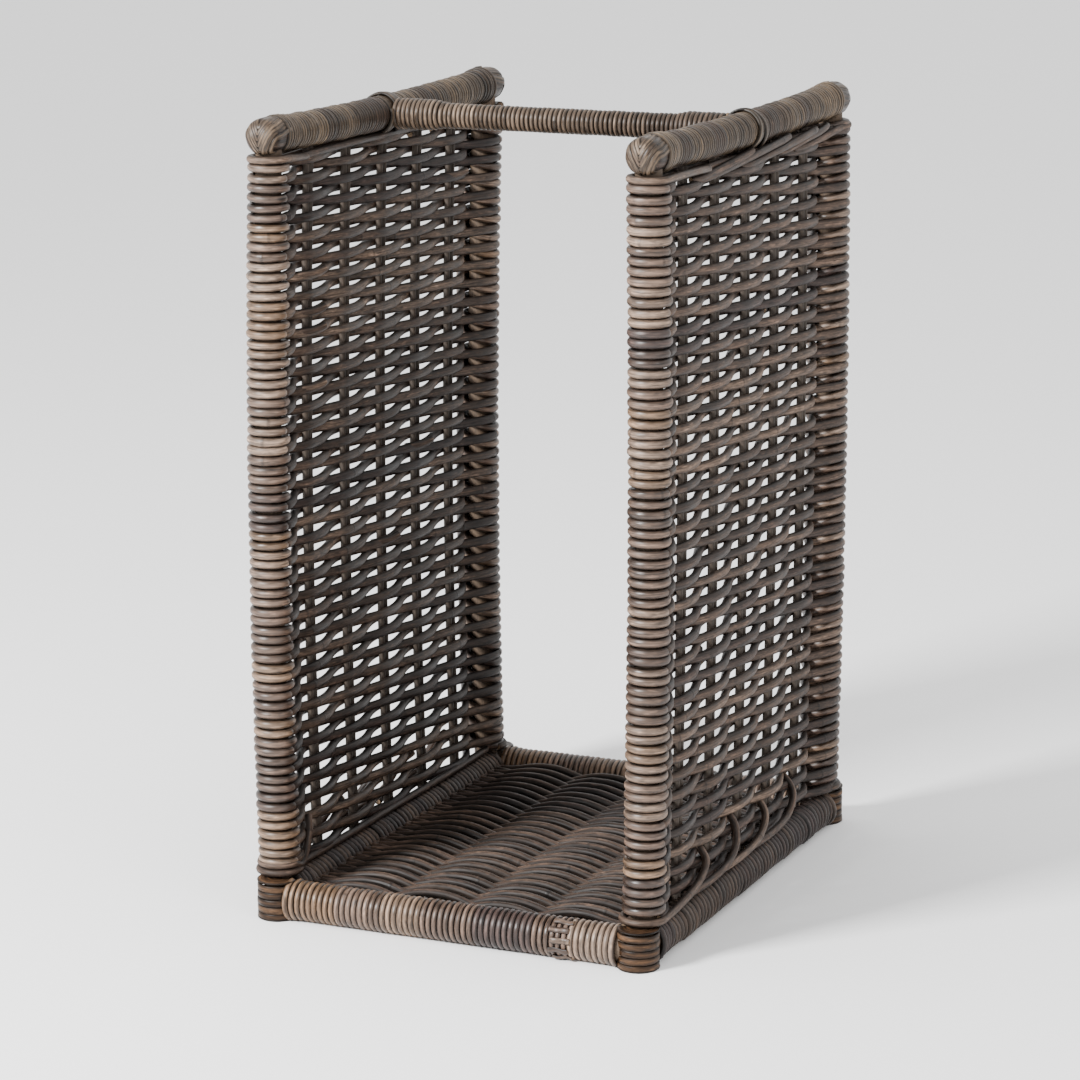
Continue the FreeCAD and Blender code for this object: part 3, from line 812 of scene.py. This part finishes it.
# ---- Top rail windings ----
# Flat rattan peel is wound round each top rail. It goes on in groups of turns, each group climbing a little
# over the one before, and the last turns at each end climb over the tails of the end caps.
peel_skin = rattan("top_peel_rattan", [(0.0, (0.024, 0.015, 0.011)), (0.2, (0.041, 0.028, 0.018)),
                                       (0.38, (0.068, 0.048, 0.031)), (0.5, (0.092, 0.063, 0.038)),
                                       (0.9, pith_colour)], streak=(0.4, 1.6), rough=0.44)
top_pole_radius = 13.5 * mm
peel_pitch = 4.9 * mm
peel_wide = 2.75 * mm
peel_thick = 1.35 * mm
cap_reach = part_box("rail_end_cap_rear_left")[1][1]
top_level = middle("rail_end_cap_front_left")[2]
top_axis = {side: middle("top_rail_" + side)[0] for side in sides}
cap_nose = 12.0 * mm
cap_tail = 17.0 * mm
rail_end = cap_reach - cap_nose
wrap_start = rail_end - cap_tail
group_climb = 0.8 * mm
end_flare = 2.3 * mm
end_flare_length = 26.0 * mm
top_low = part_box("top_rail_left")[0][2] + top_pole_radius
top_dip = top_level - top_low


def peel_group_ramp(rng, share_count):
    """How far each turn stands out: it climbs through a group of turns, then drops back."""
    climb = []
    while len(climb) < share_count + 1:
        group = rng.randint(4, 7)
        climb += [step / group * group_climb for step in range(group)]
    return climb


for side in sides:
    rng = random.Random(81 if side == "left" else 82)
    climb = peel_group_ramp(rng, int(2 * wrap_start / peel_pitch) + 2)

    def peel_radius(share):
        spot = share * 2 * wrap_start / peel_pitch
        ramp = climb[int(spot)] + (climb[int(spot) + 1] - climb[int(spot)]) * (spot % 1.0)
        from_end = min(share, 1.0 - share) * 2 * wrap_start
        flare = end_flare * max(0.0, 1.0 - from_end / end_flare_length) ** 0.7
        return top_pole_radius + peel_thick + 0.1 * mm + ramp + flare

    def peel_sag(share):
        spot = (share - 0.5) * 2 * wrap_start / post_y
        return -top_dip * (1.0 - spot * spot)

    x = top_axis[side]
    strands = winding(rng, (x, -wrap_start, top_level), (x, wrap_start, top_level), peel_radius, peel_pitch,
                      peel_wide, peel_thick, steps=22, slant=1.8 * mm, shades=(4, 7, 0.1, 0.95),
                      lift=peel_sag, swell=0.5 * mm)
    lay("%s_top_rail_winding" % side, strands, half_round_section, peel_skin,
        ["top_wrap_" + side])

# ---- Rail end caps ----
# Each end of a top rail is closed by flat straps of peel, bent over it and nested one under the next, with
# wider ones beneath. Their tails lie along the rail, and the last turns of the winding bind them in.
cap_shades = [(0.0, (0.025, 0.015, 0.011)), (0.25, (0.047, 0.032, 0.021)), (0.5, (0.090, 0.062, 0.041)),
              (0.9, pith_colour)]
cap_skin = rattan("cap_peel_rattan", cap_shades, rough=0.42, knots=0.2)
cap_radius = 15.9 * mm
dome_depth = 10.5 * mm
strap_wide = 2.15 * mm
strap_thick = 1.0 * mm
strap_rise = math.radians(63)
strap_count = 10
petal_count = 13
petal_wide = 4.4 * mm
petal_depth = 1.2 * mm


def dome_point(across, up, lift):
    """A point of the rounded end, as (across, out, up) from the pole's end, raised by lift."""
    reach = math.hypot(across, up) / cap_radius
    out = dome_depth * math.sqrt(max(0.0, 1.0 - min(1.0, reach) ** 2))
    return across, out + lift, up


for end, side in corners_of_plan:
    rng = random.Random(90 + corners_of_plan.index((end, side)))
    straps = []
    for number in range(strap_count):
        apex = (8.0 - 5.4 * number) * mm
        lift = (0.16 * number + rng.uniform(-0.1, 0.15)) * mm
        lean = rng.uniform(-0.6, 0.6) * mm
        arm = [(run * mm * math.cos(strap_rise), apex + run * mm * math.sin(strap_rise)) for run in range(60)]
        arm = [(across, up) for across, up in arm if math.hypot(across, up) < 0.98 * cap_radius]
        if len(arm) < 4:
            continue
        half = [dome_point(across, up, lift) for across, up in arm]
        turn = math.atan2(arm[-1][1], arm[-1][0])
        ring = cap_radius + lift * 0.5
        for back, more in ((3.0, 3.0), (9.0, 8.0), (16.0, 13.0), (24.0, 17.0)):
            angle = turn + math.radians(more)
            half.append((ring * math.cos(angle), -back * mm, ring * math.sin(angle)))
        if apex > -0.95 * cap_radius:
            halves = [[(-across, out, up) for across, out, up in half[:0:-1]] + half]
        else:
            turn = math.atan2(arm[0][1], arm[0][0])
            tail = [(ring * math.cos(turn - bend), -back * mm, ring * math.sin(turn - bend))
                    for back, bend in ((20.0, 0.25), (11.0, 0.16), (4.0, 0.07))]
            half = tail + half
            halves = [half, [(-across, out, up) for across, out, up in half]]
        for whole in halves:
            local = smooth_path(whole, 50)
            local[:, 0] += lean
            line = np.stack([top_axis[side] + local[:, 0], ends[end] * (rail_end + local[:, 1]),
                             top_level + local[:, 2]], axis=1)
            away = np.stack([local[:, 0] / cap_radius,
                             ends[end] * np.maximum(local[:, 1], 0.0) / dome_depth * 1.2,
                             local[:, 2] / cap_radius], axis=1)
            straps.append((line, away, strap_wide, strap_thick, rng.uniform(0.1, 0.95),
                           rng.uniform(0.0, 4.0)))
    for number in range(petal_count):
        angle = 2 * math.pi * number / petal_count
        local = [(cap_radius * math.cos(angle) * share, dome_depth * math.sqrt(max(0.0, 1 - share * share)),
                  cap_radius * math.sin(angle) * share) for share in (0.12, 0.4, 0.7, 0.88, 0.985)]
        local += [(cap_radius * math.cos(angle), -back * mm, cap_radius * math.sin(angle))
                  for back in (4, 12, 22)]
        local = smooth_path(local, 26)
        line = np.stack([top_axis[side] + local[:, 0], ends[end] * (rail_end + local[:, 1] - petal_depth),
                         top_level + local[:, 2]], axis=1)
        away = np.stack([local[:, 0] / cap_radius, ends[end] * np.maximum(local[:, 1], 0.0) / dome_depth,
                         local[:, 2] / cap_radius], axis=1)
        straps.append((line, away, petal_wide, 0.8 * strap_thick, rng.uniform(0.0, 0.3),
                       rng.uniform(0.0, 4.0)))
    lay("%s_%s_end_cap" % (end, side), straps, flat_section, cap_skin,
        ["rail_end_cap_%s_%s" % (end, side)])

# ---- Handle winding and lashes ----
# The handle bar is wound turn by turn with half-round rattan, built up thicker beside the rails. Three loops
# of flat peel, two of them crossing the third, go over each top rail where the handle meets it.
handle_shades = [(0.0, (0.027, 0.017, 0.012)), (0.25, (0.059, 0.040, 0.027)), (0.5, (0.113, 0.078, 0.053)),
                 (0.9, pith_colour)]
handle_skin = rattan("handle_winding_rattan", handle_shades, rough=0.42)
handle_pole_radius = 9.0 * mm
handle_level = middle("handle_bar")[2]
handle_turn_wide = 2.35 * mm
handle_turn_thick = 1.65 * mm
handle_turn_pitch = 4.75 * mm
handle_inset = 17.5 * mm
collar_length = 45.0 * mm
collar_swell = 2.9 * mm
collar_edge = 2.5 * mm
lash_reach = 17.9 * mm
lash_wide = 3.0 * mm
lash_thick = 1.3 * mm
handle_from = top_axis["left"] + handle_inset
handle_to = top_axis["right"] - handle_inset


def handle_radius(share):
    from_end = min(share, 1.0 - share) * (handle_to - handle_from)
    swell = 1.0 / (1.0 + math.exp((from_end - collar_length) / collar_edge))
    return handle_pole_radius + handle_turn_thick + collar_swell * swell


strands = winding(random.Random(101), (handle_from, 0.0, handle_level), (handle_to, 0.0, handle_level),
                  handle_radius, handle_turn_pitch, handle_turn_wide, handle_turn_thick, steps=18,
                  slant=0.9 * mm, shades=(5, 12, 0.15, 0.95))
lay("handle_winding", strands, half_round_section, handle_skin, ["handle_wrap"])
for side in sides:
    rng = random.Random(103 if side == "left" else 104)
    loops = []
    for start, slope in ((-6.5, 9.0), (-1.0, 8.0), (6.0, -9.0)):
        turn = np.linspace(-1.1 * math.pi, 1.1 * math.pi, 46)
        reach = lash_reach + rng.uniform(0.0, 0.8) * mm + (0.6 * mm if slope < 0 else 0.0)
        away = np.stack([sides[side] * np.cos(turn), np.zeros(46), np.sin(turn)], axis=1)
        line = np.array((top_axis[side], start * mm, handle_level)) + away * reach
        line[:, 1] += slope * mm * np.sin(turn * 0.5)
        loops.append((line, away, lash_wide, lash_thick, rng.uniform(0.3, 0.9), rng.uniform(0.0, 4.0)))
    lay("%s_handle_lash" % side, loops, flat_section, peel_skin, ["handle_lash_" + side])
